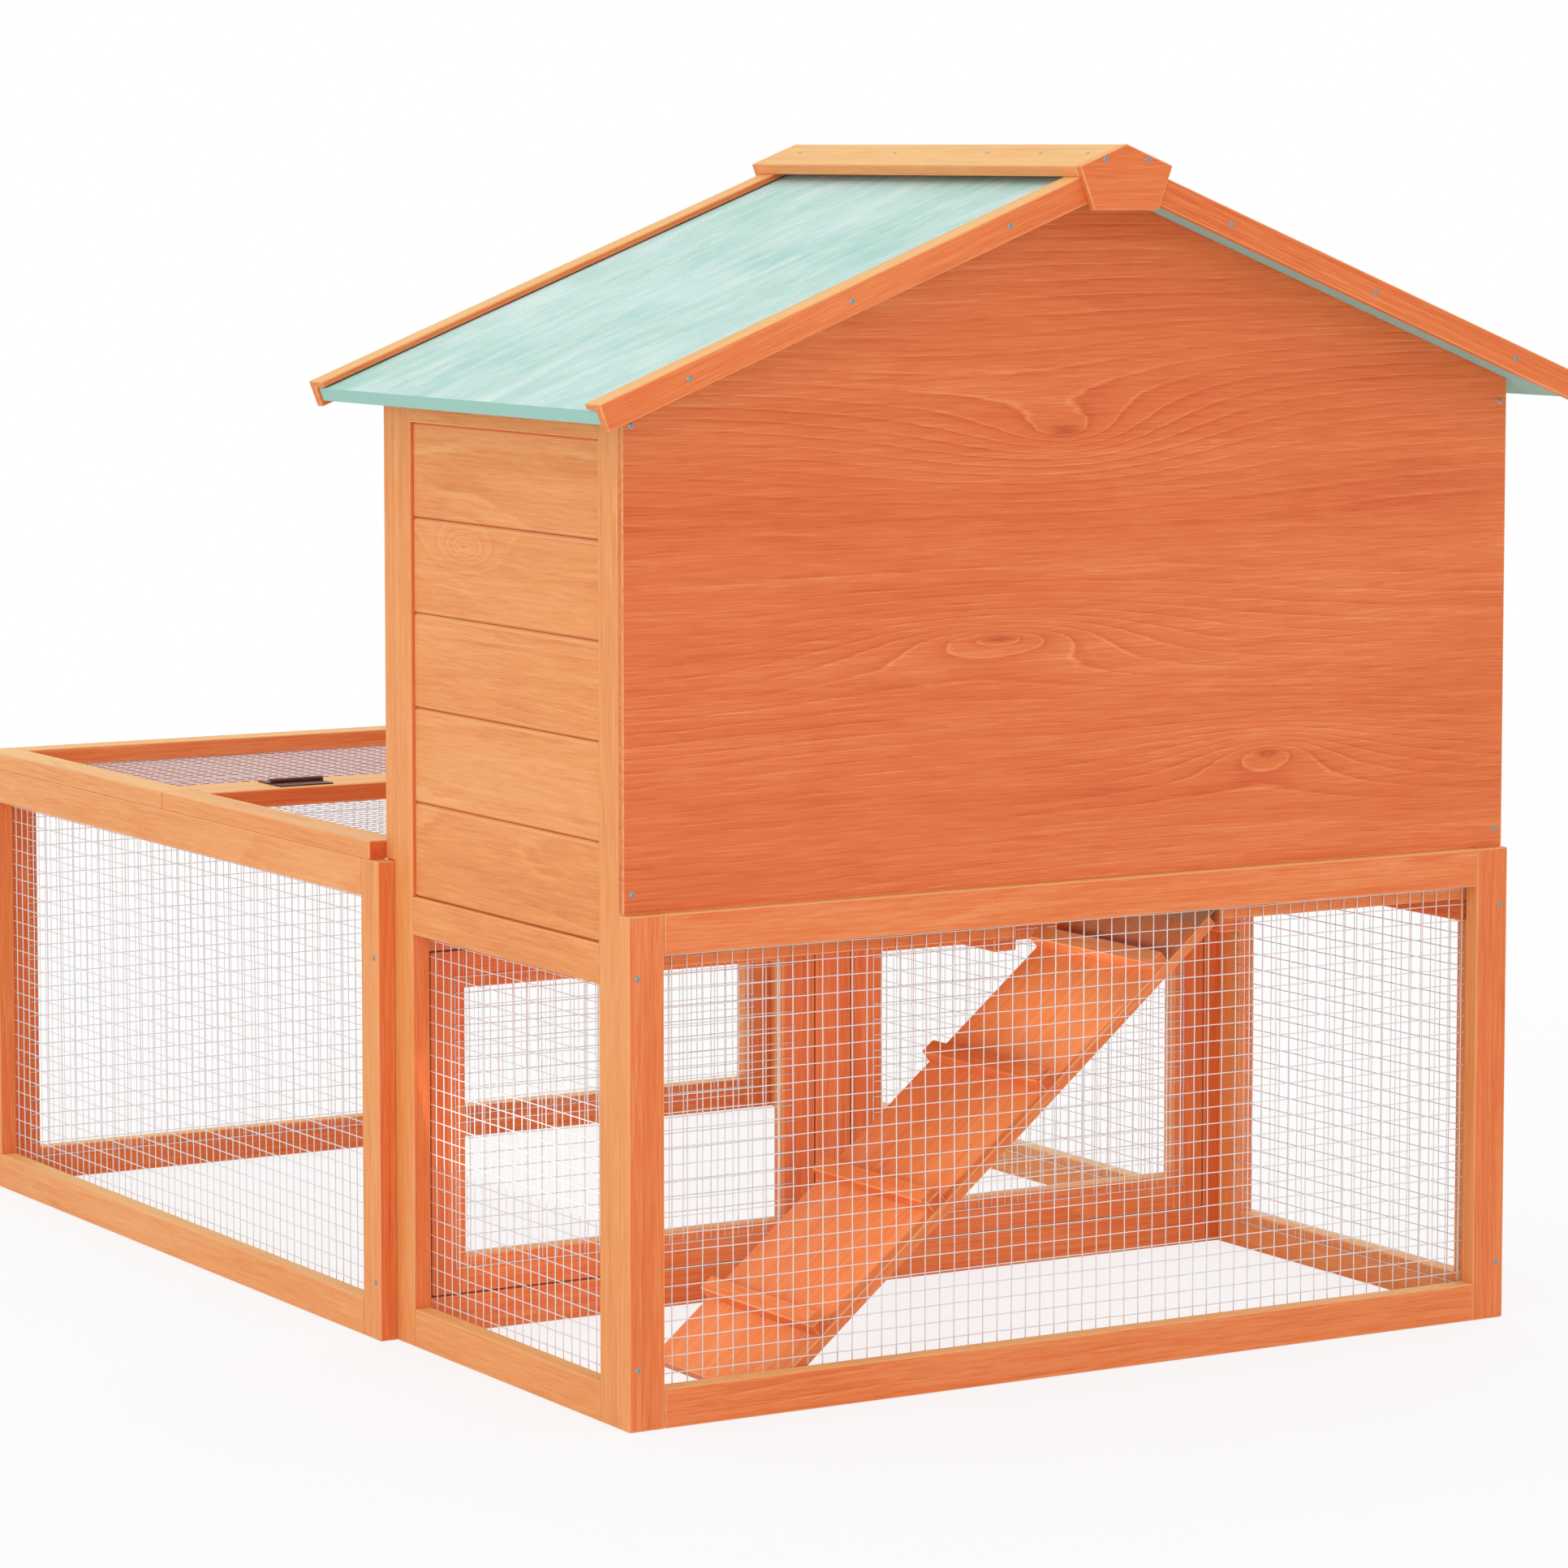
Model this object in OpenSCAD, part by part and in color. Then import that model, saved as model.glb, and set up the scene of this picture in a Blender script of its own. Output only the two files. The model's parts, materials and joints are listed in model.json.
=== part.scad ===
// Two-storey gabled rabbit hutch with a low wire run fixed to its front.
// +Z is up, +Y runs from the closed back gable towards the far end of the run.
// The origin is on the ground, in the middle of everything the object covers.

/* [House] */
// Width of the house across the gable
house_w = 806; // [700:1:900]
// Depth of the house, outer face of back frame to outer face of front frame
house_d = 392; // [340:1:460]
// Height of the lower frames, and of the run under its lids
low_h = 382; // [350:1:430]
// Height of the side panels above the lower frames, at their outer face
upper_h = 376; // [360:1:430]
// Width of the frame boards
stock_w = 30; // [24:1:36]
// Thickness of the frame boards
stock_t = 15; // [12:0.5:20]
// Hairline left where two boards of a frame meet
joint_gap = 0.2; // [0.1:0.1:0.5]
// From the top of the lower frames down to the underside of the rail over a side window
mid_rail_drop = 55; // [48:1:80]
// Thickness of the plywood of the back gable wall
wall_t = 7; // [5:0.5:9]
// Width of the centre post of the front
post_w = 33; // [28:1:45]

/* [Siding] */
// Boards in each side wall
siding_count = 5; // [4:1:6]
// Thickness of a siding board
siding_t = 9; // [7:0.5:11]
// How far the siding lies back from the face of its frame
siding_recess = 3; // [1:0.5:4]
// Bevel along the joints of the siding
siding_bevel = 2; // [1:0.5:3]

/* [Front] */
// Height of the header board over the lower doors
header_h = 74; // [60:1:90]
// Height of the sill rail under the upper doors
sill_h = 45; // [42:1:60]
// From the top of the side panels down to the underside of the lintel over the upper doors
lintel_drop = 68; // [45:1:130]
// Thickness of the front gable board
gable_t = 9; // [6:0.5:12]
// Gap all round a door
door_gap = 1.5; // [1:0.5:3]
// Boards in the solid door
door_boards = 5; // [4:1:7]
// Width of the battens behind the solid door
batten_w = 40; // [30:1:50]
// Distance from the ends of a batten to the edges of its door
batten_inset = 8; // [4:1:15]

/* [Floor] */
// From the top of the lower frames down to the underside of the floor boards
floor_drop = 42; // [38:1:44]
// Thickness of the floor boards
floor_t = 9; // [8:0.5:12]
// Gap round the floor
floor_gap = 0.5; // [0.2:0.1:2]
// Width of the floor bearers
bearer_w = 15; // [12:1:20]
// Height of the floor bearers
bearer_h = 18; // [14:1:24]
// Width of the trimmers under the ends of the hatch
trimmer_w = 20; // [15:1:25]
// Height of those trimmers
trimmer_h = 10; // [8:1:12]
// How far a trimmer runs past the hatch at its front side
trimmer_over = 16; // [10:1:30]
// How far the hatch reaches past the hinge line of the ramp
hatch_lap = 2; // [1:0.5:3]
// Clear length of the hatch
hatch_l = 190; // [170:1:200]
// Gap between the ramp and the front edge of the hatch
hatch_side = 5; // [4:1:9]
// Floor boards cut short beside the hatch
hatch_boards = 2; // [1:1:3]
// Middle of the nest partition, left of the middle of the house
part_x = 86; // [82:1:100]
// Thickness of the nest partition
part_t = 6; // [4:0.5:9]
// Height of the nest partition
part_h = 340; // [260:1:380]
// Width of its doorway
arch_w = 150; // [120:1:200]
// Height of its doorway at the crown
arch_h = 220; // [180:1:250]
// Board left between the doorway and the front edge of the partition
arch_side = 20; // [15:1:25]

/* [Ramp] */
// Width of the ramp
ramp_w = 170; // [140:1:200]
// Thickness of the ramp board
ramp_t = 9; // [7:0.5:12]
// Slope of the ramp
ramp_angle = 39.7; // [37:0.1:42]
// Hinge line of the ramp, right of the middle of the house
ramp_x = 133; // [130:1:136]
// Gap between the ramp and the mesh of the back frame
ramp_back = 3.5; // [2:0.5:6]
// Bare length of the ramp between its hinge line and its board
ramp_end = 10; // [9:0.5:14]
// Clearance between the foot of the ramp and the ground
foot_gap = 0.3; // [0.1:0.1:1]
// Number of cleats
cleat_count = 4; // [3:1:4]
// Last cleat below the hinge line of the ramp
cleat_last = 68; // [50:1:80]
// First cleat above the foot of the ramp
cleat_first = 72; // [60:1:80]
// Width of a cleat along the ramp
cleat_w = 14; // [10:1:20]
// Height of a cleat
cleat_h = 11; // [8:1:13]

/* [Roof] */
// Slope of the roof
slope = 21.4; // [19:0.1:22]
// Thickness of the roof boards
deck_t = 8; // [6:0.5:12]
// Thickness of the roofing felt
felt_t = 1.5; // [1:0.1:2.5]
// Slant length of the roof boards from the ridge to the eave
deck_l = 471; // [460:1:500]
// Overhang of the gable trim beyond the lower frames
over_y = 40; // [30:1:60]
// Thickness of the face of the gable trim
barge_t = 8.6; // [7:0.2:12]
// Height of the face of the gable trim
barge_h = 21.4; // [19:0.2:30]
// Width of the lip of the gable trim over the felt
barge_lip = 22; // [16:1:30]
// Thickness of that lip
lip_t = 5; // [4:0.5:7]
// Gap between the felt and that lip
lip_gap = 1.2; // [0.5:0.1:2]
// How far the gable trim runs past the felt at the eave
barge_over = 2.5; // [1:0.5:8]
// Thickness of the ridge boards
cap_t = 9; // [6:0.5:12]
// Reach of each ridge board to the side
cap_x = 42; // [35:1:60]
// Thickness of the ridge end plates
plate_t = 6; // [4:0.5:9]
// Length of the slanted sides of an end plate
plate_l = 35.7; // [28:0.1:45]

/* [Run] */
// Length of the lid next to the house, up to the middle of the seam
near_lid_l = 393; // [370:1:430]
// Length of the far lid, from the middle of the seam
far_lid_l = 389; // [330:1:389]
// Gap between the two lids
lid_gap = 1; // [0.5:0.5:2]

/* [Wire mesh] */
// Spacing of the wires of the real mesh
wire_pitch = 13; // [10:0.5:20]
// Real wires for each wire that is drawn
wire_skip_count = 5; // [4:1:8]
// Thickness of the drawn mesh
wire_d = 1.6; // [1:0.1:2.5]
// Lap of the mesh over its frame
wire_lap = 10; // [6:1:14]

/* [Hardware] */
// Length of a hinge
hinge_l = 50; // [40:1:60]
// Width of a hinge leaf from its axis
leaf_w = 22; // [18:1:24]
// Thickness of a hinge leaf
leaf_t = 1.2; // [0.8:0.1:1.4]
// Radius of the hinge knuckles
knuckle_r = 2.4; // [2.2:0.1:2.5]
// Height of the hinge axis above the wood
axis_h = 2.6; // [2.6:0.1:3]
// Radius of the hinge pins
pin_r = 1.2; // [0.9:0.05:1.3]
// Clearance of every pin and pivot screw in its hole
fit_gap = 0.05; // [0.03:0.01:0.1]
// Distance from a hinge to the end of its door
hinge_inset = 35; // [25:1:45]
// Distance from a lid hinge to the outer face of the house side
lid_hinge_inset = 86; // [60:1:150]
// Gap between parts that move past each other
run_gap = 0.3; // [0.2:0.05:0.5]
// Gap between the roof boards and what carries them, and between the two roof slopes
wall_clear = 0.2; // [0.1:0.05:0.4]
// Length of a turn button
button_l = 60; // [52:1:70]
// Width of a turn button
button_w = 14; // [12:1:18]
// Thickness of a turn button
button_t = 5; // [4:0.5:7]
// Radius of the pivot screw of a turn button
pivot_r = 2; // [1.5:0.1:2.5]
// Radius of the head of that screw
pivot_head_r = 4.5; // [3.5:0.1:6]
// Height of the head of that screw
pivot_head_h = 2; // [1:0.1:3]
// Radius of the small screw heads
screw_r = 2.4; // [1.8:0.1:3]
// Height of the small screw heads
screw_h = 0.8; // [0.4:0.1:1.2]
// Distance of the screws of a lower frame from its foot and from its top
screw_low = 46; // [35:1:60]
// Height of the upper screws of the run panels
run_screw_z = 305; // [280:1:340]
// Distance of the upper gable screws from the top of the side panels
gable_screw_drop = 19; // [15:1:30]
// Screws along the face of each gable trim
trim_screw_count = 3; // [2:1:4]
// First of those screws, sideways from the ridge
trim_screw_first = 100; // [60:1:130]
// Spacing of those screws, measured sideways
trim_screw_pitch = 137; // [80:1:140]
// Distance of an end plate's screws from the ridge, measured sideways
plate_screw_x = 19; // [12:1:28]
// Gap between a hinge knuckle and the leaf beside it
leaf_gap = 0.6; // [0.4:0.1:1]

/* [Hidden] */
$fn = 32;

hw = house_w / 2;
inner_d = house_d - 2 * stock_t;
front_y = house_d - stock_t;
seam_y = house_d + near_lid_l;
run_end_y = seam_y + far_lid_l;
mid_y = (run_end_y - over_y - plate_t) / 2;
side_h = low_h + upper_h;
mid_rail_z = low_h - mid_rail_drop;
header_z = low_h - header_h;
lintel_z = side_h - lintel_drop;
floor_z = low_h - floor_drop;
run_h = low_h;

// Longer than anything here, for the blocks that cut
far = 2000;

// Heights inside the side panels
siding_z = mid_rail_z + stock_w;
siding_top = side_h - stock_w;
siding_pitch = (siding_top - siding_z) / siding_count;

// Floor and hatch
floor_top = floor_z + floor_t;
floor_y0 = stock_t + wire_d + floor_gap;
floor_y1 = front_y - floor_gap;
hatch_x1 = ramp_x + hatch_lap;
hatch_x0 = hatch_x1 - hatch_l;
ramp_y0 = stock_t + wire_d + ramp_back;
hatch_y1 = ramp_y0 + ramp_w + hatch_side;

// Ramp, measured down the slope from its hinge line
ramp_axis_z = floor_top + axis_h;
ramp_l = (ramp_axis_z - foot_gap - (axis_h + ramp_t) * cos(ramp_angle)) / sin(ramp_angle);
cleat_pitch = (ramp_l - cleat_first - cleat_last) / (cleat_count - 1);

// Roof: distances from the underside of the deck, square to the slope
ridge_z = side_h + hw * tan(slope) + wall_clear / cos(slope);
felt_top = deck_t + felt_t;
trim_top = felt_top + lip_gap + lip_t;
trim_low = trim_top - barge_h;
cap_top = trim_top + cap_t;
deck_y0 = -over_y + barge_t;
deck_y1 = house_d + over_y - barge_t;
cap_end_z = ridge_z + cap_top / cos(slope) - cap_x * tan(slope);

// Doors
door_w = hw - stock_w - post_w / 2 - 2 * door_gap;
door_x0 = -hw + stock_w + door_gap;
low_door_z = stock_w + door_gap;
low_door_h = header_z - stock_w - 2 * door_gap;
up_door_z = low_h + sill_h + door_gap;
up_door_h = lintel_z - low_h - sill_h - 2 * door_gap;
door_axis_x = -hw + stock_w + door_gap / 2;
batten_t = stock_t - siding_t;
low_button_z = low_door_z + low_door_h / 2;
up_button_z = up_door_z + up_door_h / 2;

// Run and its lids
run_side_l = run_end_y - front_y;
lid_w = house_w + 2 * stock_t;
near_lid_end = seam_y - lid_gap / 2;
far_lid_start = seam_y + lid_gap / 2;

// Moves from the outer face of the back frame to the middle of the object
module place() translate([0, -mid_y, 0]) children();

module both_sides() {
  children();
  mirror([1, 0, 0]) children();
}

// An upright frame of four boards, w wide, h high, face towards -Y
module frame(w, h) {
  for (x = [0, w - stock_w])
    translate([x, 0, 0]) cube([stock_w, stock_t, h]);
  for (z = [0, h - stock_w])
    translate([stock_w + joint_gap, 0, z])
      cube([w - 2 * stock_w - 2 * joint_gap, stock_t, stock_w]);
}

// Turns something drawn with its face towards -Y into a left-hand side, face towards -X
module as_left_side(y, t = stock_t) translate([t, y, 0]) rotate([0, 0, 90]) children();

// A flat net of welded wire, w by h, standing on edge, its front towards -Y
module net(w, h) {
  nx = round(w / (wire_pitch * wire_skip_count));
  nz = round(h / (wire_pitch * wire_skip_count));
  px = (w - wire_d) / nx;
  pz = (h - wire_d) / nz;
  translate([0, wire_d, 0]) rotate([90, 0, 0]) linear_extrude(wire_d)
    difference() {
      square([w, h]);
      for (i = [0:nx - 1])
        for (j = [0:nz - 1])
          translate([wire_d + i * px, wire_d + j * pz]) square([px - wire_d, pz - wire_d]);
    }
}

// The net of a frame, inside a frame window that starts at z0 and is h high
module frame_net(w, h, z0 = stock_w)
  translate([stock_w - wire_lap, 0, z0 - wire_lap])
    net(w - 2 * (stock_w - wire_lap), h + 2 * wire_lap);

// Local axes of the right-hand roof slope: x down the slope, z square to it
module on_slope() translate([0, 0, ridge_z]) rotate([0, slope, 0]) children();

// Keeps what lies right of the middle, for the plumb cut at the ridge
module right_half()
  intersection() {
    children();
    translate([wall_clear, -far, -far]) cube([far, 2 * far, 2 * far]);
  }

module roof_slab(u, y0, y1, n0, n1)
  right_half() on_slope() translate([-stock_w, y0, n0]) cube([u + stock_w, y1 - y0, n1 - n0]);

// Keeps what lies under the roof boards
module under_roof()
  difference() {
    children();
    both_sides() on_slope() translate([-far / 2, -far, -wall_clear]) cube([far * 2, 2 * far, far]);
  }

module back_lower_frame() color("#E0703C") place()
  translate([-hw, 0, 0]) frame(house_w, low_h);

module back_mesh() color("#D8DCDC") place()
  translate([-hw, stock_t, 0]) frame_net(house_w, low_h - 2 * stock_w);

module back_gable_wall() color("#DE6A3A") place()
  under_roof() translate([-hw, stock_t - wall_t, low_h])
    cube([house_w, wall_t, ridge_z - low_h]);

// Side panel: two full-height stiles, three rails and a window below
module side_frame() {
  under_roof() translate([-hw, 0, 0]) as_left_side(stock_t) {
    for (x = [0, inner_d - stock_w])
      translate([x, 0, 0]) cube([stock_w, stock_t, side_h + stock_w]);
    translate([stock_w + joint_gap, 0, siding_top])
      cube([inner_d - 2 * stock_w - 2 * joint_gap, stock_t, 2 * stock_w]);
  }
  translate([-hw, 0, 0]) as_left_side(stock_t)
    for (z = [0, mid_rail_z])
      translate([stock_w + joint_gap, 0, z])
        cube([inner_d - 2 * stock_w - 2 * joint_gap, stock_t, stock_w]);
}
module left_side_frame() color("#F0A060") place() side_frame();
module right_side_frame() color("#F0A060") place() mirror([1, 0, 0]) side_frame();

// Siding boards with bevelled edges, so the joints show as V grooves
module side_boards() {
  b = siding_bevel;
  h = siding_pitch - joint_gap;
  len_y = inner_d - 2 * stock_w - 2 * joint_gap;
  for (i = [0:siding_count - 1])
    translate([-hw + siding_recess, stock_t + stock_w + joint_gap + len_y,
               siding_z + joint_gap / 2 + i * siding_pitch])
      rotate([90, 0, 0]) linear_extrude(len_y)
        polygon([[b, 0], [siding_t, 0], [siding_t, h], [b, h], [0, h - b], [0, b]]);
}
module left_side_boards() color("#EFA263") place() side_boards();
module right_side_boards() color("#EFA263") place() mirror([1, 0, 0]) side_boards();

module side_mesh() translate([-hw + stock_t, 0, 0]) as_left_side(stock_t + run_gap, wire_d)
  translate([wire_d, 0, 0])
    frame_net(inner_d - 2 * wire_d, mid_rail_z - stock_w);
module left_side_mesh() color("#D8DCDC") place() side_mesh();
module right_side_mesh() color("#D8DCDC") place() mirror([1, 0, 0]) side_mesh();

// Lower front: outer posts, foot rail, header board and centre post
module front_lower_frame() color("#E0703C") place() translate([0, front_y, 0]) {
  both_sides() translate([-hw, 0, 0]) cube([stock_w, stock_t, low_h]);
  between = house_w - 2 * stock_w - 2 * joint_gap;
  for (z = [[0, stock_w], [header_z, low_h - header_z]])
    translate([-between / 2, 0, z[0]]) cube([between, stock_t, z[1]]);
  translate([-post_w / 2, 0, stock_w + joint_gap])
    cube([post_w, stock_t, header_z - stock_w - 2 * joint_gap]);
}

// Upper front: outer posts up to the roof, sill rail, lintel and centre post
module front_upper_frame() color("#E0703C") place() {
  up_z = low_h + joint_gap;
  between = house_w - 2 * stock_w - 2 * joint_gap;
  under_roof() both_sides() translate([-hw, front_y, up_z])
    cube([stock_w, stock_t, side_h + stock_w - up_z]);
  for (z = [[up_z, sill_h - joint_gap], [lintel_z, stock_w]])
    translate([-between / 2, front_y, z[0]]) cube([between, stock_t, z[1]]);
  translate([-post_w / 2, front_y, low_h + sill_h + joint_gap])
    cube([post_w, stock_t, lintel_z - low_h - sill_h - 2 * joint_gap]);
}

module front_gable_board() color("#DE6A3A") place() under_roof() {
  between = house_w - 2 * stock_w - 2 * joint_gap;
  gable_z = lintel_z + stock_w + joint_gap;
  translate([-between / 2, house_d - gable_t, gable_z])
    cube([between, gable_t, ridge_z - gable_z]);
}

module mesh_door(h) translate([door_x0, front_y, 0]) frame(door_w, h);
module mesh_door_net(h)
  translate([door_x0, front_y - wire_d, 0]) frame_net(door_w, h - 2 * stock_w);

module lower_door() translate([0, 0, low_door_z]) mesh_door(low_door_h);
module lower_door_net() translate([0, 0, low_door_z]) mesh_door_net(low_door_h);
module lower_left_door() color("#E67C46") place() lower_door();
module lower_left_door_mesh() color("#D8DCDC") place() lower_door_net();
module lower_right_door() color("#E67C46") place() mirror([1, 0, 0]) lower_door();
module lower_right_door_mesh() color("#D8DCDC") place() mirror([1, 0, 0]) lower_door_net();

// Solid door: upright boards on two battens
module upper_left_door() color("#E67C46") place() translate([door_x0, 0, up_door_z]) {
  pitch = (door_w + joint_gap) / door_boards;
  for (i = [0:door_boards - 1])
    translate([i * pitch, house_d - siding_t, 0])
      bevelled_board(pitch - joint_gap, siding_t, up_door_h);
  for (z = [hinge_inset, up_door_h - hinge_inset - batten_w])
    translate([batten_inset, front_y, z]) cube([door_w - 2 * batten_inset, batten_t, batten_w]);
}
// Upright board, its face towards +Y with bevelled edges
module bevelled_board(w, t, h) {
  b = siding_bevel;
  linear_extrude(h)
    polygon([[0, 0], [w, 0], [w, t - b], [w - b, t], [b, t], [0, t - b]]);
}

module upper_right_door() color("#E67C46") place()
  mirror([1, 0, 0]) translate([0, 0, up_door_z]) mesh_door(up_door_h);
module upper_right_door_mesh() color("#D8DCDC") place()
  mirror([1, 0, 0]) translate([0, 0, up_door_z]) mesh_door_net(up_door_h);

// A floor board from x0 to x1 and from y0 to y1, with a hairline at each long edge
module floor_board(x0, x1, y0, y1)
  translate([x0, y0 + joint_gap / 2, floor_z]) cube([x1 - x0, y1 - y0 - joint_gap, floor_t]);

// Floor boards run across the house, and those beside the hatch stop short of it
module floor_boards() color("#D9A871") place() {
  x_in = hw - stock_t - wire_d - floor_gap;
  pitch = (hatch_y1 - floor_y0) / hatch_boards;
  floor_board(-x_in, x_in, hatch_y1, floor_y1);
  for (i = [0:hatch_boards - 1]) {
    y = floor_y0 + i * pitch;
    floor_board(-x_in, hatch_x0, y, y + pitch);
    floor_board(hatch_x1, x_in, y, y + pitch);
  }
}

// A bearer along each side wall, and a trimmer under each end of the hatch
module floor_bearers() color("#D2743F") place() {
  both_sides() translate([-hw + stock_t + wire_d + run_gap, floor_y0, floor_z - bearer_h])
    cube([bearer_w, floor_y1 - floor_y0, bearer_h]);
  for (x = [hatch_x0 - trimmer_w, hatch_x1])
    translate([x, floor_y0, floor_z - trimmer_h])
      cube([trimmer_w, hatch_y1 - floor_y0 + trimmer_over, trimmer_h]);
}

// Partition between the nest and the hatch room, with an arched doorway past the hatch
module nest_partition() color("#D9A871") place()
  translate([-part_x - part_t / 2, floor_y0, floor_top]) rotate([90, 0, 90])
    linear_extrude(part_t) difference() {
      d = floor_y1 - floor_y0;
      middle = d - arch_side - arch_w / 2;
      square([d, part_h]);
      translate([middle - arch_w / 2, -1]) square([arch_w, arch_h - arch_w / 2 + 1]);
      translate([middle, arch_h - arch_w / 2]) circle(r = arch_w / 2);
    }

// Local axes of the ramp: x down the ramp from its hinge line, z square to it
module on_ramp()
  translate([ramp_x, ramp_y0, ramp_axis_z]) mirror([1, 0, 0]) rotate([0, ramp_angle, 0]) children();

module ramp_board() color("#E58A4B") place()
  on_ramp() translate([ramp_end, 0, -axis_h - ramp_t])
    cube([ramp_l - ramp_end, ramp_w, ramp_t]);

module ramp_cleats() color("#EFA263") place()
  on_ramp() for (i = [0:cleat_count - 1])
    translate([ramp_l - cleat_first - i * cleat_pitch - cleat_w / 2, 0, -axis_h])
      cube([cleat_w, ramp_w, cleat_h]);

module deck() roof_slab(deck_l, deck_y0 + felt_t, deck_y1 - felt_t, 0, deck_t);
module roof_deck_right() color("#CFA574") place() deck();
module roof_deck_left() color("#CFA574") place() mirror([1, 0, 0]) deck();

// Felt laid over the boards, and turned under them where they overhang the walls
module felt() {
  sheet_l = deck_l + felt_t;
  roof_slab(sheet_l, deck_y0, deck_y1, deck_t, felt_top);
  difference() {
    roof_slab(sheet_l, deck_y0, deck_y1, -felt_t, felt_top);
    on_slope() translate([-far, deck_y0 + felt_t, 0])
      cube([far + deck_l, deck_y1 - deck_y0 - 2 * felt_t, deck_t]);
    translate([0, stock_t - wall_t - run_gap, 0])
      cube([hw + run_gap, house_d - stock_t + wall_t + 2 * run_gap, ridge_z + felt_t]);
  }
}
module roof_felt_right() color("#BFE3DA") place() felt();
module roof_felt_left() color("#BFE3DA") place() mirror([1, 0, 0]) felt();

// Gable trim: a face board with a lip that reaches over the edge of the felt
module gable_trim() {
  u = deck_l + felt_t + barge_over;
  union() {
    roof_slab(u, -over_y, -over_y + barge_t, trim_low, trim_top);
    roof_slab(u, -over_y, -over_y + barge_lip, trim_top - lip_t, trim_top);
  }
}
module to_front() translate([0, house_d, 0]) mirror([0, 1, 0]) children();
module back_trim_right() color("#E57A45") place() gable_trim();
module back_trim_left() color("#E57A45") place() mirror([1, 0, 0]) gable_trim();
module front_trim_right() color("#E57A45") place() to_front() gable_trim();
module front_trim_left() color("#E57A45") place() to_front() mirror([1, 0, 0]) gable_trim();

module ridge_board() {
  u = (cap_x - cap_top * sin(slope)) / cos(slope);
  roof_slab(u, -over_y, house_d + over_y, trim_top, cap_top);
}
module ridge_board_right() color("#F2AE74") place() ridge_board();
module ridge_board_left() color("#F2AE74") place() mirror([1, 0, 0]) ridge_board();

// Five-sided plate that closes one end of the ridge
module ridge_plate()
  translate([0, -over_y, 0]) rotate([90, 0, 0]) linear_extrude(plate_t)
    polygon([
      [0, cap_end_z + cap_x * tan(slope)],
      [cap_x, cap_end_z],
      [cap_x - plate_l * sin(slope), cap_end_z - plate_l * cos(slope)],
      [-cap_x + plate_l * sin(slope), cap_end_z - plate_l * cos(slope)],
      [-cap_x, cap_end_z]]);
module back_ridge_plate() color("#E57A45") place() ridge_plate();
module front_ridge_plate() color("#E57A45") place() to_front() ridge_plate();

// Run: side panels lap the edge of the front frame, the end panel fits between them
module run_side() translate([-hw - stock_t, 0, 0]) as_left_side(front_y) frame(run_side_l, run_h);
module run_left_frame() color("#F0A060") place() run_side();
module run_right_frame() color("#F0A060") place() mirror([1, 0, 0]) run_side();
module run_end_frame() color("#E0703C") place()
  translate([-hw + joint_gap, run_end_y - stock_t, 0]) frame(house_w - 2 * joint_gap, run_h);

module run_side_mesh() translate([-hw, 0, 0]) as_left_side(house_d + run_gap, wire_d)
  translate([0, 0, stock_w - wire_lap])
    net(run_side_l - 2 * stock_t - 2 * run_gap - wire_d, run_h - 2 * (stock_w - wire_lap));
module run_left_mesh() color("#D8DCDC") place() run_side_mesh();
module run_right_mesh() color("#D8DCDC") place() mirror([1, 0, 0]) run_side_mesh();
module run_end_mesh() color("#D8DCDC") place()
  translate([-hw, run_end_y - stock_t - wire_d, 0]) frame_net(house_w, run_h - 2 * stock_w);

// A lid lies on the run from y0 to y1, with its mesh nailed under it
module lid_frame(y0, y1) translate([-lid_w / 2, y0, run_h]) {
  for (x = [0, lid_w - stock_w])
    translate([x, 0, 0]) cube([stock_w, y1 - y0, stock_t]);
  for (y = [0, y1 - y0 - stock_w])
    translate([stock_w + joint_gap, y, 0])
      cube([lid_w - 2 * stock_w - 2 * joint_gap, stock_w, stock_t]);
}
module lid_mesh(y0, y1) {
  w = house_w - 2 * wire_lap;
  inset = stock_w - wire_lap;
  translate([-w / 2, y0 + inset, run_h]) rotate([-90, 0, 0]) net(w, y1 - y0 - 2 * inset);
}

module near_lid_frame() color("#F2AE74") place() lid_frame(house_d, near_lid_end);
module far_lid_frame() color("#F2AE74") place() lid_frame(far_lid_start, run_end_y);
module near_lid_mesh() color("#D8DCDC") place() lid_mesh(house_d, near_lid_end);
module far_lid_mesh() color("#D8DCDC") place() lid_mesh(far_lid_start, run_end_y);

// One leaf of a butt hinge. The axis is the z axis, the wood lies below y = -axis_h,
// and the leaf reaches towards side. It has the middle knuckle, or the two outer ones.
module hinge_leaf(side, middle) {
  seg = hinge_l / 3;
  clear_x = knuckle_r + leaf_gap;
  mine = middle ? [1] : [0, 2];
  flip = side > 0 ? 0 : 1;
  difference() {
    mirror([flip, 0, 0]) union() {
      translate([clear_x, -axis_h, 0]) cube([leaf_w - clear_x, leaf_t, hinge_l]);
      for (k = mine) {
        z0 = k * seg + (k == 0 ? 0 : run_gap / 2);
        z1 = (k + 1) * seg - (k == 2 ? 0 : run_gap / 2);
        translate([0, 0, z0]) cylinder(r = knuckle_r, h = z1 - z0);
        translate([0, -axis_h, z0]) cube([clear_x, leaf_t, z1 - z0]);
      }
    }
    translate([0, 0, -1]) cylinder(r = pin_r + fit_gap, h = hinge_l + 2);
  }
}
module pin() cylinder(r = pin_r, h = hinge_l);

// Puts a hinge on the left-hand edge of a door that stands from z0 and is h high
module at_door_hinges(z0, h)
  for (z = [z0 + hinge_inset, z0 + h - hinge_inset - hinge_l])
    translate([door_axis_x, house_d + axis_h, z]) children();

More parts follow.
